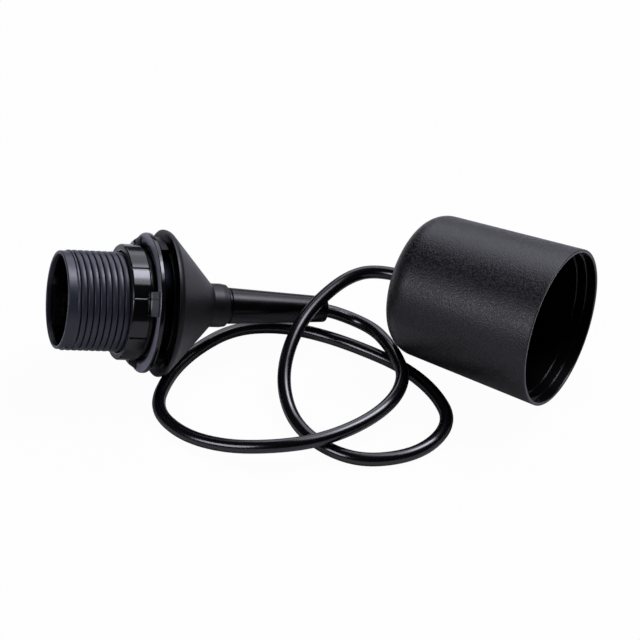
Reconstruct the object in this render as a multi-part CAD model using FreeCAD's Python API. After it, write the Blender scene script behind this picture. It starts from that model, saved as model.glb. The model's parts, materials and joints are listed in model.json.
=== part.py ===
import FreeCAD, Part
import math
import os

V = FreeCAD.Vector
Z = V(0, 0, 1)

# Pendant light fitting lying at rest: a screw lamp holder with its shade ring, cone cap and strain
# relief, the free cord in two loose loops, and the ceiling cup on its side. Millimetres, +Z up, the
# origin under the middle of the holder and the cup, +X along the cup, from closed end to mouth.

# Fits
slip = 0.15
moving_gap = 0.3
running_gap = 0.06
grip_gap = 0.05
hole_gap = 0.1
cut_over = 1.0

# Cord and its two cores
cord_diameter = 5.5
core_diameter = 1.9
arc_share = 0.45

# Lamp holder as it lies, from the middle of the cap's rim
holder_x = -53.01
holder_y = -27.64
holder_heading = 226.5
holder_tilt = 14.336

# Lamp socket inside the barrel
shell_bore = 26.6
shell_wall = 0.45
shell_length = 17.5
shell_flange = 1.9
insert_wall = 3.45
insert_base = 5.0
insert_edge = 0.5
recess_depth = 6.6
contact_width = 5.0
contact_thickness = 0.5
contact_root = 9.4
contact_root_radius = 0.8
contact_stand = 1.0
contact_rise = 3.6
contact_tip = 3.0
terminal_across = 7.0
terminal_depth = 5.0
terminal_height = 7.0
terminal_offset = 10.6
tab_width = 4.0
tab_thickness = 0.8
wire_hole_depth = 3.0
screw_diameter = 2.4
screw_head_diameter = 3.8
screw_head_height = 1.5
screw_slot = 0.6
screw_slot_depth = 0.5
screw_point_gap = 0.2
core_leave = 0.3
core_swing = 0.62
core_arrive = 0.9
core_ease = 1.6

# Threaded barrel
barrel_wall = 1.6
barrel_reach = 43.3
barrel_inner_lip = 9.8
mouth_bevel = 1.0
mouth_bevel_length = 6.0
thread_pitch = 2.5
thread_depth = 1.1
thread_crest = 1.0
thread_root = 0.2
thread_runout = 3.4
lip_wall = 2.25
lip_length = 3.0
lip_round = 0.5
barrel_flange_rim = 2.4
barrel_flange_thickness = 4.3
barrel_flange_round = 0.8
barrel_flange_stand = 1.5
barrel_root_round = 0.5
wing_count = 2
wing_stand = 4.2
wing_edge = 1.0
wing_half_angle = 35.0
wing_phase = 35.0
spigot_stand = 4.5
spigot_depth = 5.4
spigot_wall = 2.4
ledge_width = 2.0
ledge_thickness = 2.5
ledge_rise = 1.5

# Shade ring and its washer
washer_width = 8.0
washer_thickness = 2.2
washer_edge = 0.6
ring_wall = 3.0
ring_height = 9.8
ring_neck_depth = 1.5
ring_neck_length = 2.35
ring_bevel = 0.9
ring_lead = 0.5
facet_count = 20
facet_depth = 0.3
groove_count = 10
groove_width = 0.8
groove_depth = 0.6
lug_count = 3
lug_step_grooves = 3
lug_stand = 4.1
lug_slope = 2.1
lug_thickness = 3.25
lug_half_angle = 11.5
lug_edge = 0.8
ring_phase = 125.7

# Cone cap
cap_margin = 3.2
cap_rim_stand = 0.84
cap_land = 0.33
cap_shoulder = 3.2
cap_cone_angle = 47.3
cap_wall = 2.0
cap_lip = 0.7
cap_waist_round = 0.8
collar_length = 6.85
collar_wall = 2.8
collar_taper = 0.4
collar_taper_length = 2.5
collar_edge = 0.3
sleeve_wall = 1.8
rib_count = 6
rib_width = 1.4
rib_setback = 2.0

# Strain relief tube and cord grip
tube_wall = 3.15
tube_length = 42.7
tube_end_wall = 1.5
tube_end_round = 1.1
tube_flare = 1.1
tube_flare_length = 4.5
tube_taper = 2.15
tube_edge = 0.4
tube_neck_depth = 0.5
tube_neck_length = 0.2
tube_bead_stand = 0.1
tube_bead_length = 1.0
tube_bead_round = 0.4
tube_groove_length = 0.3
tube_spigot_length = 6.0
cord_start_depth = 6.0
grip_length = 6.5
grip_land = 2.5
grip_tip_diameter = 9.0
grip_slit = 0.8
grip_slit_length = 5.0
grip_slits = 4
grip_slit_phase = 45.0
tail_overhang = 1.6

# Ceiling cup as it lies, from the middle of its closed end
cup_x = 26.88
cup_y = 39.29
cup_length = 68.0
cup_mouth_diameter = 65.3
cup_end_diameter = 58.7
cup_end_round = 10.4
cup_rim_wall = 1.4
cup_rim_edge = 0.4
cup_step = 0.5
cup_first_step = 4.0
cup_second_step = 8.0
cup_end_wall = 2.6
bush_wall = 1.24
bush_flange_width = 2.3
bush_flange_thickness = 1.6
bush_edge = 0.5

# Cord hanger, clamp bridge and terminal block inside the cup
hanger_start = 18.0
clamp_length = 7.0
clamp_edge = 2.7
clamp_height = 4.5
clamp_split = 0.6
clamp_web = 2.3
clamp_round = 0.8
plate_thickness = 2.5
plate_width = 8.0
plate_drop = 1.5
eye_wall = 3.0
eye_hole_diameter = 8.0
eye_stand = 16.0
cup_tail_overhang = 2.0
block_start = 36.0
block_offset = 8.0
block_side = 1.7
block_cover = 2.9
block_end = 3.8
block_round = 1.2
block_hole_diameter = 2.6
pole_gap = 2.0
sleeve_wall_thickness = 1.0
sleeve_inset = 1.0
core_room = 0.65
core_reach = 3.0
cup_core_leave = 0.25
cup_core_arrive = 0.75
cup_core_ease = 0.8
block_screw_diameter = 2.4
block_screw_offset = 3.2
block_screw_sink = 1.0
block_screw_bite = 0.3
block_screw_room = 0.3

# Sizes that follow from the ones above
cord_radius = cord_diameter / 2
core_radius = core_diameter / 2
core_spread = core_radius + slip
shell_radius = shell_bore / 2 + shell_wall
insert_bore = shell_radius + slip
recess_radius = shell_bore / 2 - shell_flange
shell_tab_offset = (recess_radius + insert_bore) / 2
barrel_bore = 2 * (insert_bore + insert_wall + slip)
thread_diameter = barrel_bore + 2 * (barrel_wall + thread_depth)
lip_diameter = barrel_bore + 2 * lip_wall
barrel_flange_diameter = thread_diameter + 2 * barrel_flange_rim
wing_diameter = barrel_flange_diameter + 2 * wing_stand
spigot_diameter = barrel_bore + 2 * spigot_stand
sleeve_diameter_inside = spigot_diameter + 2 * slip
sleeve_diameter_outside = sleeve_diameter_inside + 2 * sleeve_wall
ledge_diameter = barrel_bore - 2 * ledge_width
washer_bore = thread_diameter + 2 * moving_gap
washer_diameter = washer_bore + 2 * washer_width
ring_collar_diameter = washer_bore + 2 * ring_wall
lug_diameter = ring_collar_diameter + 2 * lug_stand
collar_bore = cord_diameter + 2 * (slip + tube_wall + slip)
collar_diameter = collar_bore + 2 * collar_wall
tube_flare_diameter = cord_diameter + 2 * tube_flare
tube_end_diameter = tube_flare_diameter + 2 * tube_end_wall
tube_start_diameter = tube_end_diameter + 2 * tube_taper
tube_neck_diameter = tube_start_diameter - 2 * tube_neck_depth
tube_bead_diameter = tube_start_diameter + 2 * tube_bead_stand
cap_rim_radius = wing_diameter / 2 + cap_margin
cap_lean = math.radians(cap_cone_angle)
cap_shoulder_centre = cap_rim_stand - cap_land
cap_shoulder_corner = cap_shoulder_centre - cap_shoulder * math.tan(cap_lean / 2)
cap_cone_end = cap_shoulder_corner - (cap_rim_radius - collar_diameter / 2) / math.tan(cap_lean)
collar_end = cap_cone_end - collar_length
bead_start = collar_end - tube_neck_length
bead_end = bead_start - tube_bead_length
tube_shoulder = bead_end - tube_groove_length
tube_end = tube_shoulder - tube_length
tube_spigot_end = collar_end + tube_spigot_length
grip_end = tube_spigot_end + grip_length
tail_end = grip_end + tail_overhang
flange_back = barrel_flange_stand
flange_front = flange_back + barrel_flange_thickness
washer_back = flange_front + moving_gap
ring_back = washer_back + washer_thickness + moving_gap / 2
ring_front = ring_back + ring_height
ledge_top = flange_back + ledge_rise
insert_floor = ledge_top + insert_base
shell_seat = insert_floor + recess_depth
insert_front = barrel_reach - barrel_inner_lip
terminal_back = ledge_top - terminal_height
contact_foot = insert_floor + contact_stand
contact_level = contact_foot + contact_root_radius
bush_hole = cord_diameter + 2 * (running_gap + bush_wall + slip)
bush_flange_diameter = bush_hole + 2 * bush_flange_width
cup_lean = math.degrees(math.atan((cup_mouth_diameter - cup_end_diameter) / 2 / cup_length))
cup_wall = cup_rim_wall + 2 * cup_step
clamp_end = hanger_start + clamp_length
clamp_screw_offset = cord_radius + clamp_web
clamp_width = 2 * (clamp_screw_offset + clamp_edge)
cup_tail_end = clamp_end + cup_tail_overhang
clamp_top = -clamp_split / 2 - clamp_height
plate_bottom = clamp_split / 2 + clamp_height + plate_drop
eye_centre = clamp_end + eye_stand
eye_diameter = eye_hole_diameter + 2 * eye_wall
sleeve_bore = core_diameter + 2 * core_room
sleeve_diameter = sleeve_bore + 2 * sleeve_wall_thickness
pole_offset = sleeve_diameter / 2 + pole_gap
block_width = 2 * (pole_offset + sleeve_diameter / 2 + block_side)
block_height = sleeve_diameter + 2 * block_cover
block_length = 2 * (block_screw_offset + block_end)
block_top = -block_offset - block_height / 2

holder_lean = math.radians(holder_tilt)
holder_turn = FreeCAD.Rotation(Z, holder_heading).multiply(FreeCAD.Rotation(V(0, 1, 0), 90 - holder_tilt))
holder_height = ((cap_rim_radius - cap_shoulder) * math.cos(holder_lean) + cap_shoulder
                 - cap_shoulder_centre * math.sin(holder_lean))
holder_place = FreeCAD.Placement(V(holder_x, holder_y, holder_height), holder_turn)
cup_turn = FreeCAD.Rotation(V(0, 1, 0), 90 - cup_lean)
cup_height = cup_end_diameter / 2 * math.cos(math.radians(cup_lean))
cup_place = FreeCAD.Placement(V(cup_x, cup_y, cup_height), cup_turn)

# Route of the free cord, from inside the strain relief tube to the closed end of the cup
floor = cord_radius
hump = 8.8
cup_run = 12.0
cord_exit = holder_place.multVec(V(0, 0, tube_end))
cord_start = holder_place.multVec(V(0, 0, tube_end + cord_start_depth))
cord_end = cup_place.multVec(V(0, 0, 0))
cord_last = cup_place.multVec(V(0, 0, -cup_run))
cord_route = [
    cord_start, cord_exit,
    V(4.9, 27.6, 7.2), V(16.5, 26.4, 7.0), V(26.8, 19.7, 8.5), V(35.2, 13.1, hump), V(43.0, 4.9, hump),
    V(46.6, -9.6, hump), V(43.4, -27.3, hump), V(33.8, -45.1, hump), V(20.7, -57.4, hump),
    V(1.1, -63.9, 4.5), V(-18.8, -65.4, floor), V(-36.6, -58.3, floor), V(-43.3, -38.4, floor),
    V(-43.1, -18.9, floor), V(-36.9, 0.5, floor), V(-21.4, 12.1, floor), V(-2.6, 16.5, floor),
    V(16.6, 17.4, floor), V(36.3, 16.3, floor), V(55.0, 9.4, floor), V(69.5, -3.2, floor),
    V(68.5, -24.3, floor), V(53.2, -40.1, floor), V(35.9, -43.1, floor), V(15.9, -36.6, floor),
    V(2.6, -24.3, 9.4), V(-3.2, -8.2, 17.5), V(-4.3, 11.0, 22.3), V(1.9, 32.2, 27.2),
    cord_last, cord_end,
]


# Closed outline in the XZ plane through corners of radius, height and, where a corner is rounded, its round
def outline(corners):
    count = len(corners)
    stretches = []
    for i in range(count):
        here = V(corners[i][0], 0, corners[i][1])
        before = V(corners[i - 1][0], 0, corners[i - 1][1])
        after = V(corners[(i + 1) % count][0], 0, corners[(i + 1) % count][1])
        rounding = corners[i][2] if len(corners[i]) > 2 else 0
        if rounding == 0:
            stretches.append((here, None, here))
            continue
        back = (before - here).normalize()
        ahead = (after - here).normalize()
        half = back.getAngle(ahead) / 2
        reach = rounding / math.tan(half)
        middle = here + (back + ahead).normalize() * (rounding / math.sin(half) - rounding)
        stretches.append((here + back * reach, middle, here + ahead * reach))
    edges = []
    for i in range(count):
        start, middle, end = stretches[i]
        following = stretches[(i + 1) % count][0]
        if middle is not None:
            edges.append(Part.Arc(start, middle, end).toShape())
        if end.distanceToPoint(following) > 1e-6:
            edges.append(Part.makeLine(end, following))
    return Part.Face(Part.Wire(edges))


# Solid of revolution about the Z axis
def turned(corners):
    return outline(corners).revolve(V(0, 0, 0), Z, 360)


# Straight rod from one point to another
def rod(start, end, radius):
    return Part.makeCylinder(radius, start.distanceToPoint(end), start, end - start)


# Block between two corners
def block(low, high):
    size = high - low
    return Part.makeBox(size.x, size.y, size.z, low)


# Copy of a shape turned about the Z axis
def spun(shape, angle):
    copy = shape.copy()
    copy.rotate(V(0, 0, 0), Z, angle)
    return copy


# Round tube along straight runs joined by the largest arcs that the runs allow
def bent_tube(points, radius, name=None):
    edges = []
    radii = []
    last = points[0]
    for i in range(1, len(points) - 1):
        back = points[i - 1] - points[i]
        ahead = points[i + 1] - points[i]
        reach = arc_share * min(back.Length, ahead.Length)
        back.normalize()
        ahead.normalize()
        half = back.getAngle(ahead) / 2
        bend = reach * math.tan(half)
        middle = points[i] + (back + ahead).normalize() * (bend / math.sin(half) - bend)
        start = points[i] + back * reach
        end = points[i] + ahead * reach
        edges.append(Part.makeLine(last, start))
        edges.append(Part.Arc(start, middle, end).toShape())
        radii.append(bend)
        last = end
    edges.append(Part.makeLine(last, points[-1]))
    path = Part.Wire(edges)
    section = Part.Wire(Part.Circle(points[0], points[1] - points[0], radius).toShape())
    tube = path.makePipeShell([section], True, False)
    if name:
        print(name, "radii", " ".join(f"{bend:.1f}" for bend in radii))
        print(name, "length", round(path.Length, 1), "volume", round(tube.Volume, 1),
              "section times length", round(math.pi * radius ** 2 * path.Length, 1))
    return tube


# Slotted cheese-head screw, head on the XY plane and upwards, shank downwards
def slotted_screw(diameter, head_diameter, head_height, shank):
    screw = turned([(0, -shank), (diameter / 2, -shank), (diameter / 2, 0), (head_diameter / 2, 0),
                    (head_diameter / 2, head_height), (0, head_height)])
    slot = block(V(-head_diameter, -screw_slot / 2, head_height - screw_slot_depth),
                 V(head_diameter, screw_slot / 2, head_height + cut_over))
    return screw.cut(slot)


# Height at which the outside of the cap's cone has a radius
def cone_height(radius):
    return (radius - collar_diameter / 2) / math.tan(cap_lean) + cap_cone_end


# Barrel: bevelled mouth, lip, thread ridges, rear flange with two wings, spigot for the cap and inner
# ledge for the lamp socket
def threaded_barrel():
    crest = thread_diameter / 2
    root = crest - thread_depth
    flank = (thread_pitch - thread_crest - thread_root) / 2
    thread_top = barrel_reach - lip_length
    thread_bottom = flange_front + thread_runout
    turns = int((thread_top - thread_bottom) / thread_pitch)
    corners = [(barrel_bore / 2, barrel_reach - mouth_bevel_length),
               (barrel_bore / 2 + mouth_bevel, barrel_reach, lip_round),
               (lip_diameter / 2, barrel_reach, lip_round), (lip_diameter / 2, thread_top),
               (root, thread_top)]
    for turn in range(turns):
        top = thread_top - turn * thread_pitch - thread_root / 2
        corners += [(root, top), (crest, top - flank), (crest, top - flank - thread_crest),
                    (root, top - 2 * flank - thread_crest)]
    flange = barrel_flange_diameter / 2
    spigot = spigot_diameter / 2
    ledge_bottom = ledge_top - ledge_thickness
    corners += [(root, flange_front, barrel_root_round), (flange, flange_front, barrel_flange_round),
                (flange, flange_back), (spigot, flange_back),
                (spigot, flange_back - spigot_depth, barrel_root_round),
                (spigot - spigot_wall, flange_back - spigot_depth), (spigot - spigot_wall, ledge_bottom),
                (ledge_diameter / 2, ledge_bottom), (ledge_diameter / 2, ledge_top),
                (barrel_bore / 2, ledge_top)]
    rim = wing_diameter / 2
    wing_root = (root + flange) / 2
    wing_profile = outline([(wing_root, flange_back), (wing_root, flange_front),
                            (rim, flange_front, wing_edge), (rim, flange_back, wing_edge)])
    wing = wing_profile.revolve(V(0, 0, 0), Z, 2 * wing_half_angle)
    wings = [spun(wing, wing_phase - wing_half_angle + i * 360 / wing_count) for i in range(wing_count)]
    return turned(corners).fuse(wings).removeSplitter()


# Cap: thin rim, hollow cone, collar for the strain relief, sleeve and ribs that hold the barrel
def cone_cap():
    collar = collar_diameter / 2
    skin = [(cap_rim_radius, cap_rim_stand), (cap_rim_radius, cap_shoulder_corner, cap_shoulder),
            (collar, cap_cone_end, cap_waist_round), (collar, collar_end + collar_taper_length),
            (collar - collar_taper, collar_end, collar_edge)]
    hollow = cap_wall / math.cos(cap_lean)
    bore = collar_bore / 2
    inner_rim = cap_rim_radius - cap_wall
    shell = turned([(cap_rim_radius - cap_lip, cap_rim_stand)] + skin
                   + [(bore, collar_end), (bore, cone_height(bore + hollow)),
                      (inner_rim, cone_height(inner_rim + hollow))])
    solid = turned([(0, cap_rim_stand)] + skin + [(0, collar_end)])
    sleeve_inside = sleeve_diameter_inside / 2
    sleeve_outside = sleeve_diameter_outside / 2
    sleeve_middle = (sleeve_inside + sleeve_outside) / 2
    sleeve_foot = cone_height(sleeve_middle + hollow / 2)
    sleeve = turned([(sleeve_inside, sleeve_foot), (sleeve_outside, sleeve_foot),
                     (sleeve_outside, flange_back), (sleeve_inside, flange_back)])
    rib = block(V(sleeve_middle, -rib_width / 2, sleeve_foot),
                V(cap_rim_radius, rib_width / 2, cap_rim_stand - rib_setback))
    ribs = [spun(rib, i * 360 / rib_count).common(solid) for i in range(rib_count)]
    return shell.fuse([sleeve] + ribs).removeSplitter()


# Strain relief: spigot in the cap's collar, bead, tapered tube, bore flared at the cord's way out
def strain_relief_tube():
    bore = cord_radius + slip
    neck = tube_neck_diameter / 2
    bead = tube_bead_diameter / 2
    return turned([(bore, tube_spigot_end), (collar_bore / 2 - slip, tube_spigot_end, tube_edge),
                   (collar_bore / 2 - slip, collar_end), (neck, collar_end), (neck, bead_start),
                   (bead, bead_start, tube_bead_round), (bead, bead_end, tube_bead_round), (neck, bead_end),
                   (neck, tube_shoulder), (tube_start_diameter / 2, tube_shoulder, tube_edge),
                   (tube_end_diameter / 2, tube_end, tube_end_round), (tube_flare_diameter / 2, tube_end),
                   (bore, tube_end + tube_flare_length)])


# Split collet that grips the cord in the collar
def cord_grip():
    bore = cord_radius + grip_gap
    grip = turned([(bore, tube_spigot_end), (collar_bore / 2 - slip, tube_spigot_end),
                   (collar_bore / 2 - slip, tube_spigot_end + grip_land), (grip_tip_diameter / 2, grip_end),
                   (bore, grip_end)])
    slit = block(V(0, -grip_slit / 2, grip_end - grip_slit_length),
                 V(collar_bore, grip_slit / 2, grip_end + cut_over))
    return grip.cut([spun(slit, grip_slit_phase + i * 360 / grip_slits) for i in range(grip_slits)])


# Loose washer between the shade ring and the barrel's flange
def shade_washer():
    bore = washer_bore / 2
    rim = washer_diameter / 2
    front = washer_back + washer_thickness
    return turned([(bore, washer_back), (rim, washer_back, washer_edge), (rim, front, washer_edge),
                   (bore, front)])


# Shade ring: neck, faceted and grooved collar and three grip lugs, with a bore that clears the thread
def shade_ring():
    bore = washer_bore / 2
    collar = ring_collar_diameter / 2
    neck = collar - ring_neck_depth
    neck_front = ring_back + ring_neck_length
    lug_front = ring_back + lug_thickness
    body = turned([(bore, ring_back), (neck, ring_back), (neck, neck_front), (collar, neck_front),
                   (collar, ring_front - ring_bevel), (collar - ring_bevel, ring_front),
                   (bore + ring_lead, ring_front), (bore, ring_front - ring_lead)])
    flat_turn = 360 / facet_count
    groove_turn = 360 / groove_count
    flat = block(V(collar - facet_depth, -collar, neck_front),
                 V(collar + cut_over, collar, ring_front + cut_over))
    groove = block(V(collar - groove_depth, -groove_width / 2, neck_front),
                   V(collar + cut_over, groove_width / 2, ring_front + cut_over))
    cuts = [spun(flat, ring_phase + (i + 0.5) * flat_turn) for i in range(facet_count)]
    cuts += [spun(groove, ring_phase + i * groove_turn) for i in range(groove_count)]
    body = body.cut(cuts)
    lug_root = (bore + neck) / 2
    lug_profile = outline([(lug_root, ring_back), (lug_diameter / 2, ring_back, lug_edge),
                           (lug_diameter / 2 - lug_slope, lug_front, lug_edge), (lug_root, lug_front)])
    lug = lug_profile.revolve(V(0, 0, 0), Z, 2 * lug_half_angle)
    lug_step = lug_step_grooves * 360 / groove_count
    lugs = [spun(lug, ring_phase - lug_half_angle + (i - 1) * lug_step) for i in range(lug_count)]
    return body.fuse(lugs).removeSplitter()


# Room for a terminal's tab on its way up through the insert, or the tab itself where there is no margin
def tab_room(middle, top, margin):
    return block(V(-tab_width / 2 - margin, middle - tab_thickness / 2 - margin, ledge_top),
                 V(tab_width / 2 + margin, middle + tab_thickness / 2 + margin, top))


# Lamp socket: insulating insert with a recess for the centre contact and a step for the screw shell
def socket_insert():
    outer = barrel_bore / 2 - slip
    body = turned([(0, ledge_top), (outer, ledge_top), (outer, insert_front, insert_edge),
                   (insert_bore, insert_front, insert_edge), (insert_bore, shell_seat),
                   (recess_radius, shell_seat), (recess_radius, insert_floor), (0, insert_floor)])
    return body.cut([tab_room(contact_root, insert_floor, slip),
                     tab_room(-shell_tab_offset, shell_seat, slip)])


# Plain wall of the lamp's screw shell, with a flange that sits on the insert's step
def screw_shell():
    bore = shell_bore / 2
    top = shell_seat + shell_length
    return turned([(recess_radius, shell_seat), (shell_radius, shell_seat), (shell_radius, top), (bore, top),
                   (bore, shell_seat + shell_wall), (recess_radius, shell_seat + shell_wall)])


# Sprung tongue that touches the lamp's centre, rolled at its root
def centre_contact():
    root = V(0, contact_root, contact_level)
    slope = contact_rise / contact_root
    lower = contact_level - contact_thickness / 2
    profile = [V(0, contact_root, lower), V(0, 0, lower + contact_rise),
               V(0, -contact_tip, lower + contact_rise - contact_tip * slope),
               V(0, -contact_tip, lower + contact_rise - contact_tip * slope + contact_thickness),
               V(0, 0, lower + contact_rise + contact_thickness),
               V(0, contact_root, lower + contact_thickness)]
    strip = Part.Face(Part.makePolygon(profile + profile[:1])).extrude(V(contact_width, 0, 0))
    roll = rod(root, root + V(contact_width, 0, 0), contact_root_radius)
    tongue = strip.fuse(roll).removeSplitter()
    tongue.translate(V(-contact_width / 2, 0, 0))
    return tongue


# Brass terminal behind the insert: block, wire hole, screw hole and a tab up through the insert
def terminal(side, tab_middle, tab_top):
    middle = side * terminal_offset
    body = block(V(-terminal_across / 2, middle - terminal_depth / 2, terminal_back),
                 V(terminal_across / 2, middle + terminal_depth / 2, ledge_top))
    hole = terminal_back + wire_hole_depth / 2
    wire = rod(V(0, middle, terminal_back), V(0, middle, terminal_back + wire_hole_depth),
               core_radius + hole_gap)
    screw = rod(V(0, middle, hole), V(terminal_across, middle, hole), screw_diameter / 2 + hole_gap)
    return body.fuse(tab_room(tab_middle, tab_top, 0)).removeSplitter().cut([wire, screw])


def holder_terminal_screws():
    shank = terminal_across / 2 - core_radius - screw_point_gap
    screws = []
    for side in (-1, 1):
        screw = slotted_screw(screw_diameter, screw_head_diameter, screw_head_height, shank)
        screw.rotate(V(0, 0, 0), V(0, 1, 0), 90)
        screw.translate(V(terminal_across / 2, side * terminal_offset, terminal_back + wire_hole_depth / 2))
        screws.append(screw)
    return Part.makeCompound(screws)


# Cores of the cord from its cut end to the holder's terminals
def holder_core(side):
    near = side * core_spread
    far = side * terminal_offset
    rise = terminal_back - tail_end
    return bent_tube([V(0, near, tail_end), V(0, near, tail_end + core_leave * rise),
                      V(0, far - side * core_ease, tail_end + core_swing * rise),
                      V(0, far, tail_end + core_arrive * rise), V(0, far, terminal_back + wire_hole_depth)],
                     core_radius)


# Ceiling cup: tapered wall, round closed end with the cord's hole, two step rings inside the mouth
def ceiling_cup():
    mouth = cup_mouth_diameter / 2
    end = cup_end_diameter / 2
    taper = (mouth - end) / cup_length
    first = cup_length - cup_first_step
    second = cup_length - cup_second_step
    hole = bush_hole / 2
    return turned([(hole, 0), (end, 0, cup_end_round), (mouth, cup_length, cup_rim_edge),
                   (mouth - cup_rim_wall, cup_length, cup_rim_edge),
                   (mouth - cup_rim_wall - taper * cup_first_step, first),
                   (mouth - cup_rim_wall - cup_step - taper * cup_first_step, first),
                   (mouth - cup_rim_wall - cup_step - taper * cup_second_step, second),
                   (mouth - cup_wall - taper * cup_second_step, second),
                   (end - cup_wall + taper * cup_end_wall, cup_end_wall, cup_end_round - cup_wall),
                   (hole, cup_end_wall)])


# Bush in the cup's end that slides on the cord
def cord_bush():
    bore = cord_radius + running_gap
    outer = bush_hole / 2 - slip
    flange_top = cup_end_wall + bush_flange_thickness
    flange = bush_flange_diameter / 2
    return turned([(bore, slip), (outer, slip), (outer, cup_end_wall), (flange, cup_end_wall),
                   (flange, flange_top, bush_edge), (bore, flange_top)])


# Clamp screws' holes through the hanger and its bridge
def clamp_holes(radius):
    middle = hanger_start + clamp_length / 2
    return [rod(V(clamp_top - cut_over, side * clamp_screw_offset, middle),
                V(plate_bottom + cut_over, side * clamp_screw_offset, middle), radius) for side in (-1, 1)]


# Seat of the cord between the two halves of the clamp
def clamp_seat():
    return rod(V(0, 0, hanger_start - cut_over), V(0, 0, clamp_end + cut_over), cord_radius + grip_gap)


# Hanger: half of the cord clamp, and a plate with the eye for the ceiling hook
def cord_hanger():
    base = block(V(clamp_split / 2, -clamp_width / 2, hanger_start),
                 V(plate_bottom, clamp_width / 2, clamp_end))
    top = plate_bottom - plate_thickness
    arm = block(V(top, -plate_width / 2, clamp_end), V(plate_bottom, plate_width / 2, eye_centre))
    disc = rod(V(top, 0, eye_centre), V(plate_bottom, 0, eye_centre), eye_diameter / 2)
    eye = rod(V(top - cut_over, 0, eye_centre), V(plate_bottom + cut_over, 0, eye_centre),
              eye_hole_diameter / 2)
    holes = clamp_holes(screw_diameter / 2 + hole_gap)
    return base.fuse([arm, disc]).removeSplitter().cut([eye, clamp_seat()] + holes)


# Bridge: the other half of the cord clamp
def clamp_bridge():
    bridge = block(V(clamp_top, -clamp_width / 2, hanger_start),
                   V(-clamp_split / 2, clamp_width / 2, clamp_end))
    crown = [edge for edge in bridge.Edges if edge.BoundBox.XMax < clamp_top + hole_gap]
    bridge = bridge.makeFillet(clamp_round, crown)
    return bridge.cut([clamp_seat()] + clamp_holes(screw_diameter / 2 + hole_gap))


def clamp_screws():
    shank = plate_bottom - clamp_top
    screws = []
    for side in (-1, 1):
        screw = slotted_screw(screw_diameter, screw_head_diameter, screw_head_height, shank)
        screw.rotate(V(0, 0, 0), V(0, 1, 0), -90)
        screw.translate(V(clamp_top, side * clamp_screw_offset, hanger_start + clamp_length / 2))
        screws.append(screw)
    return Part.makeCompound(screws)


# Two-pole terminal block: housing, brass sleeves and their screws
def block_screw_places():
    middle = block_start + block_length / 2
    return [(side * pole_offset, middle + end * block_screw_offset) for side in (-1, 1) for end in (-1, 1)]


def terminal_block():
    end = block_start + block_length
    middle = block_start + block_length / 2
    bottom = block_top + block_height
    housing = block(V(block_top, -block_width / 2, block_start), V(bottom, block_width / 2, end))
    long_edges = [edge for edge in housing.Edges if edge.BoundBox.ZLength > block_length / 2]
    housing = housing.makeFillet(block_round, long_edges)
    cuts = [rod(V(-block_offset, side * pole_offset, block_start - cut_over),
                V(-block_offset, side * pole_offset, end + cut_over), sleeve_diameter / 2 + hole_gap)
            for side in (-1, 1)]
    over = block_top - cut_over
    cuts += [rod(V(over, y, z), V(-block_offset, y, z), block_screw_diameter / 2 + block_screw_room)
             for y, z in block_screw_places()]
    cuts.append(rod(V(over, 0, middle), V(bottom + cut_over, 0, middle), block_hole_diameter / 2))
    return housing.cut(cuts)


def terminal_sleeves():
    sleeves = []
    for side in (-1, 1):
        start = V(-block_offset, side * pole_offset, block_start + sleeve_inset)
        end = V(-block_offset, side * pole_offset, block_start + block_length - sleeve_inset)
        sleeve = rod(start, end, sleeve_diameter / 2).cut(rod(start, end, sleeve_bore / 2))
        holes = [rod(V(-block_offset - sleeve_diameter, y, z), V(-block_offset, y, z),
                     block_screw_diameter / 2 + hole_gap) for y, z in block_screw_places() if y * side > 0]
        sleeves.append(sleeve.cut(holes))
    return Part.makeCompound(sleeves)


def terminal_block_screws():
    top = block_top + block_screw_sink
    shank = -block_offset - sleeve_bore / 2 + block_screw_bite - top
    radius = block_screw_diameter / 2
    screws = []
    for y, z in block_screw_places():
        screw = turned([(0, 0), (radius, 0), (radius, shank), (0, shank)])
        slot = block(V(-block_screw_diameter, -screw_slot / 2, -cut_over),
                     V(block_screw_diameter, screw_slot / 2, screw_slot_depth))
        screw = screw.cut(slot)
        screw.rotate(V(0, 0, 0), V(0, 1, 0), 90)
        screw.translate(V(top, y, z))
        screws.append(screw)
    return Part.makeCompound(screws)


# Cores of the cord from its cut end to the terminal block
def cup_core(side):
    near = side * core_spread
    far = side * pole_offset
    run = block_start - cup_tail_end
    return bent_tube([V(0, near, cup_tail_end), V(0, near, cup_tail_end + cup_core_leave * run),
                      V(cup_core_ease - block_offset, far, cup_tail_end + cup_core_arrive * run),
                      V(-block_offset, far, block_start + sleeve_inset),
                      V(-block_offset, far, block_start + sleeve_inset + core_reach)], core_radius)


holder_pieces = {
    "threaded_barrel": threaded_barrel(),
    "cone_cap": cone_cap(),
    "strain_relief_tube": strain_relief_tube(),
    "cord_grip": cord_grip(),
    "shade_washer": shade_washer(),
    "shade_ring": shade_ring(),
    "socket_insert": socket_insert(),
    "screw_shell": screw_shell(),
    "centre_contact": centre_contact(),
    "centre_terminal": terminal(1, contact_root, contact_foot - moving_gap),
    "shell_terminal": terminal(-1, -shell_tab_offset, shell_seat),
    "holder_terminal_screws": holder_terminal_screws(),
    "holder_live_core": holder_core(1),
    "holder_neutral_core": holder_core(-1),
    "holder_cord_tail": rod(V(0, 0, tube_end + cord_start_depth), V(0, 0, tail_end), cord_radius),
}
cup_pieces = {
    "ceiling_cup": ceiling_cup(),
    "cord_bush": cord_bush(),
    "cup_cord_tail": rod(V(0, 0, 0), V(0, 0, cup_tail_end), cord_radius),
    "cord_hanger": cord_hanger(),
    "clamp_bridge": clamp_bridge(),
    "clamp_screws": clamp_screws(),
    "terminal_block": terminal_block(),
    "terminal_sleeves": terminal_sleeves(),
    "terminal_block_screws": terminal_block_screws(),
    "cup_live_core": cup_core(1),
    "cup_neutral_core": cup_core(-1),
}

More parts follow.
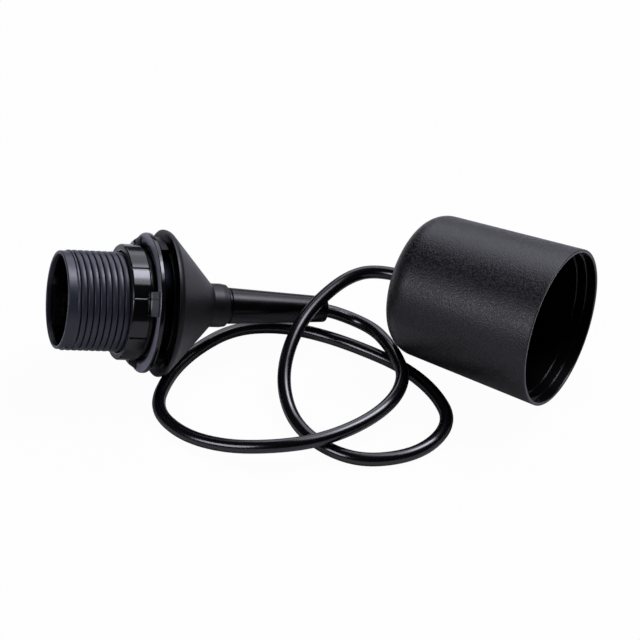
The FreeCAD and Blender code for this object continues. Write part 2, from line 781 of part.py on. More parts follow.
os.makedirs("parts", exist_ok=True)
for name, shape in holder_pieces.items():
    shape.Placement = holder_place.multiply(shape.Placement)
    shape.exportStep(f"parts/{name}.step")
for name, shape in cup_pieces.items():
    shape.Placement = cup_place.multiply(shape.Placement)
    shape.exportStep(f"parts/{name}.step")
bent_tube(cord_route, cord_radius, "cord").exportStep("parts/cord.step")
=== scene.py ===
import json
import math

import bpy
import numpy as np
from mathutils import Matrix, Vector


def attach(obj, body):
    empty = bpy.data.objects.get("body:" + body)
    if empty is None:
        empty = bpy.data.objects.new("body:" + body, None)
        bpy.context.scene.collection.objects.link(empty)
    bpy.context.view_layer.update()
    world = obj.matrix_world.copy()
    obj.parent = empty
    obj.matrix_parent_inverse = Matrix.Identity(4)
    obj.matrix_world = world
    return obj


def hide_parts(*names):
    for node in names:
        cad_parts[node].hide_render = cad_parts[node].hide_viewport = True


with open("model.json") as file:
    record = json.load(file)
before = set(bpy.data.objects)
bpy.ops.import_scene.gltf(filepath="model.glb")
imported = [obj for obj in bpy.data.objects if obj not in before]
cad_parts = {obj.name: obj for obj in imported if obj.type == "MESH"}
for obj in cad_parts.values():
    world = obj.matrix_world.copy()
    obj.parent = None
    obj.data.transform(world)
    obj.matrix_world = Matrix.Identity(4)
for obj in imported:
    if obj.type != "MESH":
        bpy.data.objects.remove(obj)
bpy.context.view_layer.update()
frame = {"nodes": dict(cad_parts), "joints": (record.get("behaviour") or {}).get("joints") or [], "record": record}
mm = 0.001
print("frame loaded,", len(frame["nodes"]), "nodes")

# where the holder and the cup lie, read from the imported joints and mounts
joints = {joint["name"]: joint for joint in frame["joints"]}
mounts = {mount["name"]: mount for mount in frame["record"]["mounts"]}
holder = {"ringPivot": 13.5}  # mm from the cap's rim plane to the point that the ring's joint names
cup = {"length": 68.0, "rimMark": 31.95}  # mm, closed end to rim, and axis to the rim's marked point


def axesOf(down, along):
    # rows X, Y and Z of a piece's own frame: down, to the near side, and along its axis
    return np.stack([down, np.cross(along, down), along])


mouthWay = np.array(joints["ring_turn"]["axis"])
holderAxes = axesOf(np.array(joints["contact_flex"]["axis"]), mouthWay)
holderOrigin = np.array(joints["ring_turn"]["pos_m"]) - holder["ringPivot"] * mm * mouthWay
holderPlace = (holderOrigin, holderAxes)
cupWay = np.array(joints["cup_slide"]["axis"])
cupAxes = axesOf(np.cross([0, 1, 0], cupWay), cupWay)
markToEnd = cup["rimMark"] * cupAxes[0] - cup["length"] * cupWay
cupOrigin = np.array(mounts["ceiling_rim"]["pos_m"]) + mm * markToEnd
cupPlace = (cupOrigin, cupAxes)


# Meshes

def roundedLoop(corners, step=0.8, arcStep=12.0, support=0.12):
    # closed outline of (radius, height, rounding): an arc at each rounded corner, straight runs between,
    # and a support point just inside both ends of every run, anticlockwise
    places = np.array([corner[:2] for corner in corners], float)
    rounds = [corner[2] if len(corner) > 2 else 0.0 for corner in corners]
    area = np.sum(places[:, 0] * np.roll(places[:, 1], -1) - np.roll(places[:, 0], -1) * places[:, 1])
    if area < 0:
        places, rounds = places[::-1], rounds[::-1]
    arcs = []
    for here, before, after, rounding in zip(places, np.roll(places, 1, 0), np.roll(places, -1, 0), rounds):
        if rounding == 0:
            arcs.append(here[None])
            continue
        back = (before - here) / np.linalg.norm(before - here)
        ahead = (after - here) / np.linalg.norm(after - here)
        half = math.acos(np.clip(back @ ahead, -1, 1)) / 2
        centre = here + (back + ahead) / np.linalg.norm(back + ahead) * rounding / math.sin(half)
        start = here + back * rounding / math.tan(half) - centre
        sweep = math.pi - 2 * half
        sweep = math.copysign(sweep, back[1] * ahead[0] - back[0] * ahead[1])
        turn = np.linspace(0, sweep, max(3, int(math.degrees(abs(sweep)) / arcStep) + 2))[:, None]
        side = np.array([-start[1], start[0]])
        arcs.append(centre + np.cos(turn) * start + np.sin(turn) * side)
    runs = []
    for arc, following in zip(arcs, arcs[1:] + arcs[:1]):
        first, last = arc[-1], following[0]
        length = np.linalg.norm(last - first)
        runs.append(arc)
        if length > 3 * support:
            inner = np.linspace(support, length - support, max(2, int(length / step) + 1)) / length
            runs.append(first + inner[:, None] * (last - first))
    return np.concatenate(runs)


def spread(radius, height, turn, place):
    # points of a surface given by radius and height over rows and turns, in metres in the shared frame
    origin, axes = place
    radius, height, turn = np.broadcast_arrays(radius, height, turn)
    local = np.stack([radius * np.cos(turn), radius * np.sin(turn), height], axis=-1) * mm
    return local @ axes + origin


def sheetFaces(rows, columns, closeRows, closeColumns):
    # four corners of every cell of a grid, wound so that columns cross rows outwards
    row = np.arange(rows if closeRows else rows - 1)[:, None]
    column = np.arange(columns if closeColumns else columns - 1)[None]
    nextRow, nextColumn = (row + 1) % rows, (column + 1) % columns
    corners = [row * columns + column, row * columns + nextColumn, nextRow * columns + nextColumn,
               nextRow * columns + column]
    return np.stack(corners, axis=-1).reshape(-1, 4)


def meshPiece(name, points, faces, tags=None, sharp=40.0):
    # mesh object from whole arrays of points and groups of faces, with one float attribute for each tag
    corners = np.concatenate([group.ravel() for group in faces]).astype(np.int32)
    sizes = np.concatenate([np.full(len(group), group.shape[1]) for group in faces])
    mesh = bpy.data.meshes.new(name)
    mesh.vertices.add(len(points))
    mesh.vertices.foreach_set("co", points.astype(np.float32).ravel())
    mesh.loops.add(len(corners))
    mesh.loops.foreach_set("vertex_index", corners)
    mesh.polygons.add(len(sizes))
    mesh.polygons.foreach_set("loop_start", (np.cumsum(sizes) - sizes).astype(np.int32))
    mesh.update(calc_edges=True)
    mesh.polygons.foreach_set("use_smooth", np.ones(len(sizes), bool))
    for tag, values in (tags or {}).items():
        marks = mesh.attributes.new(tag, "FLOAT", "POINT")
        marks.data.foreach_set("value", values.astype(np.float32).ravel())
    mesh.set_sharp_from_angle(angle=math.radians(sharp))
    mesh.validate()
    piece = bpy.data.objects.new(name, mesh)
    bpy.context.scene.collection.objects.link(piece)
    return piece


def ringSheet(name, radius, height, turn, place, tags=None, sharp=40.0):
    # surface closed both ways: a closed outline carried once round an axis
    points = spread(radius, height, turn, place)
    rows, columns = points.shape[:2]
    full = {tag: np.broadcast_to(values, (rows, columns)) for tag, values in (tags or {}).items()}
    return meshPiece(name, points.reshape(-1, 3), [sheetFaces(rows, columns, True, True)], full, sharp)


def turns(count):
    # even turns round an axis, as one row
    return np.linspace(0, 2 * math.pi, count, endpoint=False)[None]


def turnedPiece(name, corners, columns, place, tag=None, **loopSizes):
    # plain body of revolution, with an optional tag worked out from its outline
    loop = roundedLoop(corners, **loopSizes)
    tags = {tag[0]: tag[1](loop)[:, None]} if tag else None
    return ringSheet(name, loop[:, :1], loop[:, 1:], turns(columns), place, tags)


def sectorPiece(name, corners, middle, halfAngle, columns, place, tags):
    # closed outline carried over part of a turn, with a flat end at each side; a tag has one value all over
    loop = roundedLoop(corners)
    turn = np.radians(np.linspace(middle - halfAngle, middle + halfAngle, columns))[None]
    points = spread(loop[:, :1], loop[:, 1:], turn, place)
    first = np.arange(len(loop)) * columns
    ends = np.stack([first[::-1], first + columns - 1])
    full = {tag: np.full(points.shape[:2], value) for tag, value in tags.items()}
    return meshPiece(name, points.reshape(-1, 3), [sheetFaces(len(loop), columns, True, False), ends], full)


def smooth(edge0, edge1, value):
    # 0 before the first edge, 1 past the second, eased at both
    share = np.clip((value - edge0) / (edge1 - edge0), 0, 1)
    return share * share * (3 - 2 * share)


def merged(name, pieces):
    # several closed sheets as the one mesh of one moulded piece
    with bpy.context.temp_override(active_object=pieces[0], selected_editable_objects=pieces):
        bpy.ops.object.join()
    pieces[0].name = name
    return pieces[0]


# Shader maths

class Socket:
    # one value in a material; + - and * add a Math node, also with a plain number on the left
    def __init__(self, net, socket):
        self.net, self.socket = net, socket

    def math(self, operation, first, second):
        return self.net.node("ShaderNodeMath", {"operation": operation}, {0: first, 1: second})

    def __add__(self, other):
        return self.math("ADD", self, other)

    __radd__ = __add__

    def __sub__(self, other):
        return self.math("SUBTRACT", self, other)

    def __rsub__(self, other):
        return self.math("SUBTRACT", other, self)

    def __mul__(self, other):
        return self.math("MULTIPLY", self, other)

    __rmul__ = __mul__

    def between(self, low, high):
        # 0 below low, 1 above high, smooth on the way
        return self.net.node("ShaderNodeMapRange", {"interpolation_type": "SMOOTHSTEP"},
                             {"Value": self, "From Min": low, "From Max": high})

    def swing(self, share):
        # how far the value is from its middle, times a share
        return share * (self - 0.5)


mixFirst, mixSecond, mixColour = 6, 7, 2  # the colour sockets of a Mix node: two inputs and an output


class Net:
    # node tree and main shader of a material, or of the world
    def __init__(self, name, kind="materials", shader="Principled BSDF"):
        self.owner = getattr(bpy.data, kind).new(name)
        self.owner.use_nodes = True
        self.tree = self.owner.node_tree
        self.shader = self.tree.nodes[shader]

    def plug(self, socket, value):
        if isinstance(value, Socket):
            self.tree.links.new(value.socket, socket)
        else:
            socket.default_value = value

    def node(self, kind, settings=None, values=None, output=0):
        made = self.tree.nodes.new(kind)
        for key, value in (settings or {}).items():
            setattr(made, key, value)
        for key, value in (values or {}).items():
            self.plug(made.inputs[key], value)
        return Socket(self, made.outputs[output])

    def set(self, **values):
        for key, value in values.items():
            self.plug(self.shader.inputs[key.replace("_", " ")], value)
        return self.owner

    def place(self):
        return self.node("ShaderNodeTexCoord", output="Object")

    def noise(self, scale, detail=2.0, rough=0.5):
        values = {"Vector": self.place(), "Scale": scale, "Detail": detail, "Roughness": rough}
        return self.node("ShaderNodeTexNoise", None, values, "Fac")

    def mix(self, share, first, second):
        # from the first colour to the second; each is three numbers or a socket
        first, second = ((*each, 1) if isinstance(each, tuple) else each for each in (first, second))
        return self.node("ShaderNodeMix", {"data_type": "RGBA"},
                         {"Factor": share, mixFirst: first, mixSecond: second}, mixColour)

    def tag(self, name):
        return self.node("ShaderNodeAttribute", {"attribute_name": name}, output="Fac")

    def bump(self, height, strength, distance):
        values = {"Height": height, "Strength": strength, "Distance": distance}
        return self.node("ShaderNodeBump", None, values)


# Finishes: noise scales are per metre, depths in metres, and gloss values say how far the roughness varies

plastic = {"cloud": 55.0, "cloudDetail": 3.0, "cloudEdges": (0.3, 0.7), "cloudGloss": 0.1, "scuff": 320.0,
           "scuffDetail": 4.0, "scuffRough": 0.7, "scuffGloss": 0.12, "bump": 0.12, "grainDepth": 0.00012}
coneFinish = {"dark": (0.0036, 0.0036, 0.0046), "light": (0.006, 0.006, 0.0076), "rough": 0.4,
              "grain": 2600.0, "sheen": 0.3}
tubeFinish = {"dark": (0.0005, 0.0005, 0.0007), "light": (0.001, 0.001, 0.0013), "rough": 0.25,
              "grain": 2200.0, "sheen": 0.24}


def clouded(net, finish, cloudScale):
    # colour in soft clouds from dark to light, with the clouds and the finer scuffs that vary the gloss
    cloud = net.noise(cloudScale, plastic["cloudDetail"])
    scuff = net.noise(plastic["scuff"], plastic["scuffDetail"], plastic["scuffRough"])
    return net.mix(cloud.between(*plastic["cloudEdges"]), finish["dark"], finish["light"]), cloud, scuff


def grained(net, finish, strength):
    # fine grain in a moulded surface
    return net.bump(net.noise(finish["grain"]), strength, plastic["grainDepth"])


def mouldedBlack(name, finish, bump=plastic["bump"], cloudScale=plastic["cloud"]):
    # black moulded plastic: soft clouds of tone and gloss, fine grain in the surface
    net = Net(name)
    colour, cloud, scuff = clouded(net, finish, cloudScale)
    rough = finish["rough"] + cloud.swing(plastic["cloudGloss"]) + scuff.swing(plastic["scuffGloss"])
    return net.set(Base_Color=colour, Roughness=rough, Specular_IOR_Level=finish["sheen"],
                   Normal=grained(net, finish, bump))


# the near-black colour and the metallic band below are painted shade for the mouth and the gap behind the washer
barrelFinish = {"dark": (0.0176, 0.0196, 0.0296), "light": (0.0225, 0.025, 0.0372), "rough": 0.38,
                "grain": 1800.0, "bump": 0.06, "paintedShade": (0.0008, 0.0009, 0.0013), "mouthGloss": 0.28,
                "mouthEdges": (0.9, 1.0), "shadeMetalStart": (0.72, 0.88), "shadeMetalEnd": (0.92, 0.99)}


def barrelSlate():
    # slate black moulding, near black where its shade tag is high, which is painted shade: 1 in the mouth, which
    # is glossier, and about 0.9 on the flange and the wings, where a metal as dark as soot takes away the
    # highlights too
    net = Net("barrelBlack")
    f = barrelFinish
    paintedShade = net.tag("paintedShade")
    colour, cloud, scuff = clouded(net, f, plastic["cloud"])
    rough = f["rough"] - f["mouthGloss"] * paintedShade.between(*f["mouthEdges"])
    rough = rough + cloud.swing(plastic["cloudGloss"]) + scuff.swing(plastic["scuffGloss"])
    return net.set(Base_Color=net.mix(paintedShade, colour, f["paintedShade"]), Roughness=rough,
                   Metallic=paintedShade.between(*f["shadeMetalStart"]) - paintedShade.between(*f["shadeMetalEnd"]),
                   Normal=grained(net, f, f["bump"]))


# lug and washer colours: painted reflection of lit surroundings on the lugs' outer faces and the washer's front
# face
ringFinish = {"dark": (0.0008, 0.0009, 0.0012), "light": (0.0015, 0.0016, 0.0021), "rough": 0.16,
              "grain": 900.0, "bump": 0.03, "cloud": 35.0, "scuffGloss": 0.08, "lug": (0.02, 0.021, 0.027),
              "lugRough": 0.5, "washer": (0.2, 0.2, 0.235), "washerRough": 0.34}


def ringGloss(name, paintedReflectionColour, dullRough):
    # glossy moulded black, duller and lighter on the faces whose tag dull is 1; the lighter colour is a painted
    # reflection
    net = Net(name)
    f = ringFinish
    dull = net.tag("dull")
    colour, _, scuff = clouded(net, f, f["cloud"])
    return net.set(Base_Color=net.mix(dull, colour, paintedReflectionColour),
                   Roughness=f["rough"] + scuff.swing(f["scuffGloss"]) + dull * (dullRough - f["rough"]),
                   Normal=grained(net, f, f["bump"]))


cupFinish = {"dark": (0.0002, 0.0002, 0.0003), "light": (0.0125, 0.0123, 0.0146), "rough": 0.43,
             "inside": (0.001, 0.001, 0.0013), "insideRough": 0.22, "cloud": 40.0, "cloudDetail": 3.0,
             "cloudShare": 0.15, "cloudGloss": 0.1, "grain": 1150.0, "grainDetail": 3.0, "grainRough": 0.65,
             "grainShare": 0.6, "pits": 1900.0, "pitSmooth": 0.6, "pitShare": 0.4,
             "speckleEdges": (0.43, 0.6), "speckleShare": 0.85, "speckleGloss": 0.12, "bump": 0.5,
             "depth": 0.00035}


def cupBlack():
    # spark-eroded grain outside, smooth and glossy inside; tag inside is 1 on the inner wall
    net = Net("cupBlack")
    f = cupFinish
    inside = net.tag("inside")
    cloud = net.noise(f["cloud"], f["cloudDetail"])
    grain = net.noise(f["grain"], f["grainDetail"], f["grainRough"])
    pits = net.node("ShaderNodeTexVoronoi", {"feature": "SMOOTH_F1"},
                    {"Vector": net.place(), "Scale": f["pits"], "Smoothness": f["pitSmooth"]}, "Distance")
    relief = (f["grainShare"] * grain + f["pitShare"] * pits) * (1 - inside)
    speckle = grain.between(*f["speckleEdges"])
    outer = net.mix(f["cloudShare"] * cloud + f["speckleShare"] * speckle, f["dark"], f["light"])
    outerRough = f["rough"] + cloud.swing(f["cloudGloss"]) + speckle.swing(f["speckleGloss"])
    return net.set(Base_Color=net.mix(inside, outer, f["inside"]),
                   Roughness=outerRough * (1 - inside) + inside * f["insideRough"],
                   Normal=net.bump(relief, f["bump"], f["depth"]))


cordFinish = {"dark": (0.001, 0.001, 0.0018), "light": (0.002, 0.002, 0.0032), "rough": 0.19, "sheen": 0.62,
              "cloud": 90.0, "cloudGloss": 0.1, "grain": 700.0, "grainDetail": 3.0, "grainGloss": 0.06,
              "bump": 0.02, "depth": 0.0001}


def cordBlack():
    # smooth black sheath: soft clouds of tone and gloss, and a faint grain
    net = Net("cordBlack")
    f = cordFinish
    cloud = net.noise(f["cloud"])
    grain = net.noise(f["grain"], f["grainDetail"])
    return net.set(Base_Color=net.mix(cloud, f["dark"], f["light"]),
                   Roughness=f["rough"] + cloud.swing(f["cloudGloss"]) + grain.swing(f["grainGloss"]),
                   Specular_IOR_Level=f["sheen"], Normal=net.bump(grain, f["bump"], f["depth"]))


stamped = {"patch": 160.0, "patchDetail": 4.0, "patchRough": 0.6, "patchEdges": (0.35, 0.7),
           "patchGloss": 0.25, "marks": 900.0, "marksDetail": 3.0, "marksGloss": 0.08, "bump": 0.08,
           "depth": 0.0001}
# brass colours far darker than real brass: painted shade for the screw shell deep in the barrel's mouth
brassFinish = {"bright": (0.3, 0.22, 0.1), "dull": (0.17, 0.12, 0.055), "rough": 0.3}
steelFinish = {"bright": (0.62, 0.62, 0.6), "dull": (0.42, 0.42, 0.42), "rough": 0.34}


def metal(name, finish):
    # stamped metal: patches of tarnish and fine rolling marks
    net = Net(name)
    s = stamped
    patch = net.noise(s["patch"], s["patchDetail"], s["patchRough"])
    marks = net.noise(s["marks"], s["marksDetail"])
    return net.set(Base_Color=net.mix(patch.between(*s["patchEdges"]), finish["bright"], finish["dull"]),
                   Metallic=1.0,
                   Roughness=finish["rough"] + patch.swing(s["patchGloss"]) + marks.swing(s["marksGloss"]),
                   Normal=net.bump(marks, s["bump"], s["depth"]))


sheath = {"cloud": 220.0, "cloudDetail": 3.0, "rough": 0.38, "cloudGloss": 0.15}


def sheathed(name, dark, light):
    # thin coloured insulation
    net = Net(name)
    cloud = net.noise(sheath["cloud"], sheath["cloudDetail"])
    return net.set(Base_Color=net.mix(cloud, dark, light),
                   Roughness=sheath["rough"] + cloud.swing(sheath["cloudGloss"]))


slotFinishes = {
    "matte_black": mouldedBlack("coneBlack", coneFinish),
    "cup_black": cupBlack(),
    "gloss_black": barrelSlate(),
    "insulator": mouldedBlack("insertBlack", coneFinish, bump=0.1, cloudScale=80.0),
    "hanger_black": mouldedBlack("hangerBlack", tubeFinish, bump=0.15, cloudScale=90.0),
    "block_housing": mouldedBlack("blockBlack", tubeFinish, bump=0.1, cloudScale=120.0),
    "brass": metal("brass", brassFinish),
    "steel": metal("zincSteel", steelFinish),
    "cord_sheath": cordBlack(),
    "live_sheath": sheathed("brownSheath", (0.1, 0.035, 0.012), (0.15, 0.06, 0.02)),
    "neutral_sheath": sheathed("blueSheath", (0.012, 0.05, 0.2), (0.02, 0.08, 0.3)),
}
ownFinishes = {
    "tube": mouldedBlack("tubeBlack", tubeFinish, bump=0.08),
    "ring": ringGloss("ringBlack", ringFinish["lug"], ringFinish["lugRough"]),
    "washer": ringGloss("washerBlack", ringFinish["washer"], ringFinish["washerRough"]),
}
for part in frame["record"]["subparts"]:
    node = frame["nodes"][part["node"]]
    node.data.materials.clear()
    node.data.materials.append(slotFinishes[part["material_slot"]])
print("materials made,", len(slotFinishes) + len(ownFinishes))


def dress(piece, material, body, slot, *nodes):
    # gives a piece its finish and the body it moves with, and hides the nodes that it stands for; slot is not used
    piece.data.materials.append(material)
    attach(piece, body)
    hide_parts(*nodes)
    return piece


# Camera and light

view = {"place": (352.73, -565.79, 571.65), "aim": (-10.67, 27.01, 0.15), "lens": 119.3, "sensor": 36.0,
        "clip": (0.05, 50.0)}  # place and aim in mm, lens and sensor too, clip in metres


def aimed(thing, place, aim):
    # sets a lamp or the camera at a place, looking at a point, both in mm
    thing.location = np.array(place) * mm
    thing.rotation_mode = "QUATERNION"
    thing.rotation_quaternion = Vector((np.array(aim) - np.array(place)).tolist()).to_track_quat("-Z", "Y")


camera = bpy.data.objects.new("camera", bpy.data.cameras.new("camera"))
bpy.context.scene.collection.objects.link(camera)
bpy.context.scene.camera = camera
aimed(camera, view["place"], view["aim"])
camera.data.lens = view["lens"]
camera.data.sensor_width = view["sensor"]
camera.data.clip_start, camera.data.clip_end = view["clip"]

lamps = {
    "overSoft": {"place": (308.0, 630.0, 1211.0), "size": (1000.0, 1000.0), "power": 11.2},
    "overCore": {"place": (312.0, 626.0, 1211.0), "size": (484.0, 484.0), "power": 7.4},
    "backSoft": {"place": (-525.0, 1050.0, 930.0), "size": (1200.0, 1200.0), "power": 8.2},
    "frontLeft": {"place": (-405.0, -1080.0, 702.0), "size": (480.0, 480.0), "power": 6.0},
}  # place and size in mm, power in watts
lampAim = (0.0, 0.0, 30.0)
lampTint = (0.91, 0.91, 1.05)
for name, lamp in lamps.items():
    light = bpy.data.lights.new(name, "AREA")
    light.shape = "RECTANGLE"
    light.size, light.size_y = (side * mm for side in lamp["size"])
    light.energy = lamp["power"]
    light.color = lampTint
    bulb = bpy.data.objects.new(name, light)
    bpy.context.scene.collection.objects.link(bulb)
    aimed(bulb, lamp["place"], lampAim)

# floor's side in metres and its own white, shares of the even white for camera and for gloss, world's light
stageSizes = {"floor": 30.0, "white": 0.6, "veil": 0.97, "gloss": 0.02, "world": 0.004}


def paleRays(net):
    # share of the even white: nearly all for the camera, a little for gloss and glass
    rays = net.node("ShaderNodeLightPath", output="Is Camera Ray")
    outputs = rays.socket.node.outputs
    mirrored = Socket(net, outputs["Is Glossy Ray"]) + Socket(net, outputs["Is Transmission Ray"])
    return rays * stageSizes["veil"] + mirrored * stageSizes["gloss"]


def paleFloor():
    # plain white diffuse under the lamps, mixed with an even white by the share above
    net = Net("paleFloor")
    white = (stageSizes["white"],) * 3
    diffuse = net.node("ShaderNodeBsdfDiffuse", None, {"Color": (*white, 1)})
    even = net.node("ShaderNodeEmission", None, {"Color": (1, 1, 1, 1), "Strength": 1.0})
    both = net.node("ShaderNodeMixShader", None, {0: paleRays(net), 1: diffuse, 2: even})
    net.plug(net.tree.nodes["Material Output"].inputs["Surface"], both)
    net.tree.nodes.remove(net.shader)
    return net.owner


edge = stageSizes["floor"] / 2
floorMesh = bpy.data.meshes.new("floor")
floorMesh.from_pydata([(-edge, -edge, 0), (edge, -edge, 0), (edge, edge, 0), (-edge, edge, 0)], [],
                      [(0, 1, 2, 3)])
floorMesh.materials.append(paleFloor())
floor = bpy.data.objects.new("floor", floorMesh)
bpy.context.scene.collection.objects.link(floor)

studio = Net("studio", "worlds", "Background")
bpy.context.scene.world = studio.set(Color=(1, 1, 1, 1), Strength=stageSizes["world"] + paleRays(studio))
bpy.context.scene.view_settings.view_transform = "Standard"
print("camera and light set,", len(lamps), "lamps")


# Cord: one smooth line along the given route of the free cord, in mm

cordSizes = {"diameter": 5.5, "length": 553.1, "inTube": 6.0, "tubeEnd": -71.32, "cupRun": 12.0,
             "floor": 2.75, "hump": 8.8, "roundSteps": 8, "lineSteps": 10}
ground, hump = cordSizes["floor"], cordSizes["hump"]


def onHolder(height):
    # point of the holder's axis, in mm
    return (holderOrigin + height * mm * mouthWay) / mm


def onCup(height):
    # point of the cup's axis, in mm
    return (cupOrigin + height * mm * cupWay) / mm


cordRoute = [
    onHolder(cordSizes["tubeEnd"] + cordSizes["inTube"]), onHolder(cordSizes["tubeEnd"]),
    (4.9, 27.6, 7.2), (16.5, 26.4, 7.0), (26.8, 19.7, 8.5), (35.2, 13.1, hump), (43.0, 4.9, hump),
    (46.6, -9.6, hump), (43.4, -27.3, hump), (33.8, -45.1, hump), (20.7, -57.4, hump),
    (1.1, -63.9, 4.5), (-18.8, -65.4, ground), (-36.6, -58.3, ground), (-43.3, -38.4, ground),
    (-43.1, -18.9, ground), (-36.9, 0.5, ground), (-21.4, 12.1, ground), (-2.6, 16.5, ground),
    (16.6, 17.4, ground), (36.3, 16.3, ground), (55.0, 9.4, ground), (69.5, -3.2, ground),
    (68.5, -24.3, ground), (53.2, -40.1, ground), (35.9, -43.1, ground), (15.9, -36.6, ground),
    (2.6, -24.3, 9.4), (-3.2, -8.2, 17.5), (-4.3, 11.0, 22.3), (1.9, 32.2, 27.2),
    onCup(-cordSizes["cupRun"]), onCup(0.0),
]
cordCurve = bpy.data.curves.new("cordLine", "CURVE")
cordCurve.dimensions = "3D"
cordCurve.bevel_depth = cordSizes["diameter"] / 2 * mm
cordCurve.bevel_resolution = cordSizes["roundSteps"]
cordCurve.resolution_u = cordSizes["lineSteps"]
cordCurve.use_fill_caps = True
line = cordCurve.splines.new("NURBS")
line.points.add(len(cordRoute) - 1)
line.points.foreach_set("co", np.column_stack([np.array(cordRoute) * mm, np.ones(len(cordRoute))]).ravel())
line.order_u = 3  # set after the points, so that the line bends smoothly
line.use_endpoint_u = True
line.use_smooth = True
flex = bpy.data.objects.new("flex", cordCurve)
bpy.context.scene.collection.objects.link(flex)
dress(flex, slotFinishes["cord_sheath"], "holder", "cord_sheath", "cord")
print("cord laid,", len(cordRoute), "route points")


# Threaded barrel

barrel = {"bore": 17.5, "lip": 19.75, "lipRound": 0.5, "reach": 43.3, "bevel": 1.0, "bevelLong": 6.0,
          "flange": 22.6, "flangeBack": 1.5, "flangeFront": 5.8, "flangeRound": 0.8, "spigot": 22.0,
          "spigotWall": 2.4, "spigotEnd": -3.9, "spigotRound": 0.5, "ledge": 15.5, "ledgeTop": 3.0,
          "ledgeBottom": 0.5, "mouthFade": 0.6, "flangeShade": 0.9, "fadeBelow": 0.1, "fadeAbove": 0.5,
          "outlineStep": 1.6, "columns": 240, "sharp": 60.0}
thread = {"root": 19.1, "crest": 20.2, "pitch": 2.5, "bandLong": 4.5, "startTurn": 58.0, "fadeIn": 22.0,
          "entry": (-0.04, 0.1), "runOut": 3.4, "wallShare": 0.6, "wallLong": 0.16, "slopeShare": 0.7,
          "rowsPerPitch": 20}
# wings: lumps on the flange whose shade tag, 0.84, darkens them as painted shade in the gap behind the washer
wings = {"root": 20.85, "rim": 26.8, "edge": 1.0, "half": 35.0, "at": (35.0, 215.0), "paintedShade": 0.84,
         "columns": 36}
tiny = 1e-6


def threadRadius(height, turn):
    # radius of the outer wall: the phase counts pitches from the end of the plain band at the mouth, which a
    # right-hand helix shortens by one pitch a turn; in each pitch the radius climbs a short steep wall from
    # the groove, eases on up a slope to the crest, and falls down a steep wall to the next groove
    b, t = barrel, thread
    lead = ((turn - math.radians(t["startTurn"])) / (2 * math.pi)) % 1.0
    phase = (b["reach"] - height - (t["bandLong"] - t["pitch"] * lead)) / t["pitch"]
    past = (phase + 0.5) % 1.0
    eased = 1 - (1 - np.minimum(past / t["slopeShare"], 1)) ** 2
    slope = t["wallShare"] + (1 - t["wallShare"]) * eased
    ridge = smooth(0, t["wallLong"], past) * slope * smooth(0, t["wallLong"], 1 - past)
    groove = t["root"] + (t["crest"] - t["root"]) * ridge
    fade = smooth(0, t["fadeIn"] / 360, lead + np.floor(np.maximum(phase, 0)))
    plain = np.where(phase < 0.5, b["lip"], t["crest"])
    threaded = plain + (groove - plain) * fade * smooth(*t["entry"], phase)
    return t["root"] + (threaded - t["root"]) * smooth(0, t["runOut"], height - b["flangeFront"])


def threadedBarrel():
    # outline of the barrel carried round its axis, with finer rows on the outer wall for its thread, and two wings
    # at the flange; a tag for painted shade is 1 in the mouth, 0.9 up to the flange's front, and fades out past it
    b, w = barrel, wings
    inside = b["spigot"] - b["spigotWall"]
    inner = roundedLoop([(b["lip"], b["reach"], b["lipRound"]),
                         (b["bore"] + b["bevel"], b["reach"], b["lipRound"]),
                         (b["bore"], b["reach"] - b["bevelLong"]), (b["bore"], b["ledgeTop"]),
                         (b["ledge"], b["ledgeTop"]), (b["ledge"], b["ledgeBottom"]),
                         (inside, b["ledgeBottom"]), (inside, b["spigotEnd"]),
                         (b["spigot"], b["spigotEnd"], b["spigotRound"]), (b["spigot"], b["flangeBack"]),
                         (b["flange"], b["flangeBack"]), (b["flange"], b["flangeFront"], b["flangeRound"]),
                         (b["lip"], b["flangeFront"])], b["outlineStep"])
    wallLow, wallHigh = b["flangeFront"], b["reach"] - b["lipRound"]
    inWall = (inner[:, 1] < wallHigh + tiny) & (inner[:, 1] > wallLow - tiny)
    onWall = (np.abs(inner[:, 0] - b["lip"]) < tiny) & inWall
    start = np.flatnonzero(~onWall & np.roll(onWall, 1))[0]
    inner = np.roll(inner, -start, axis=0)[:np.count_nonzero(~onWall)]
    steps = int((wallHigh - wallLow) / thread["pitch"] * thread["rowsPerPitch"])
    wall = np.column_stack([np.full(steps, b["lip"]), np.linspace(wallLow, wallHigh, steps)])
    loop = np.concatenate([inner, wall])
    turn = turns(b["columns"])
    radius = loop[:, :1] + 0 * turn
    height = loop[:, 1:] + 0 * turn
    radius[len(inner):] = threadRadius(height[len(inner):], turn)
    # painted shade: the mouth's bore and everything up to the flange's front, in the gap behind the washer, go
    # near black
    mouthShade = 1 - smooth(b["bore"] + b["mouthFade"], b["bore"] + b["bevel"], radius)
    pastFlange = smooth(b["flangeFront"] - b["fadeBelow"], b["flangeFront"] + b["fadeAbove"], height)
    paintedShade = np.maximum(mouthShade, b["flangeShade"] - b["flangeShade"] * pastFlange)
    body = ringSheet("barrelBody", radius, height, turn, holderPlace, {"paintedShade": paintedShade}, b["sharp"])
    profile = [(w["root"], b["flangeBack"]), (w["root"], b["flangeFront"]),
               (w["rim"], b["flangeFront"], w["edge"]), (w["rim"], b["flangeBack"], w["edge"])]
    lumps = [sectorPiece("barrelWing", profile, middle, w["half"], w["columns"], holderPlace,
                         {"paintedShade": w["paintedShade"]}) for middle in w["at"]]
    return merged("barrel", [body] + lumps)


dress(threadedBarrel(), slotFinishes["gloss_black"], "holder", "gloss_black", "threaded_barrel")
print("barrel turned")


# Shade ring and washer

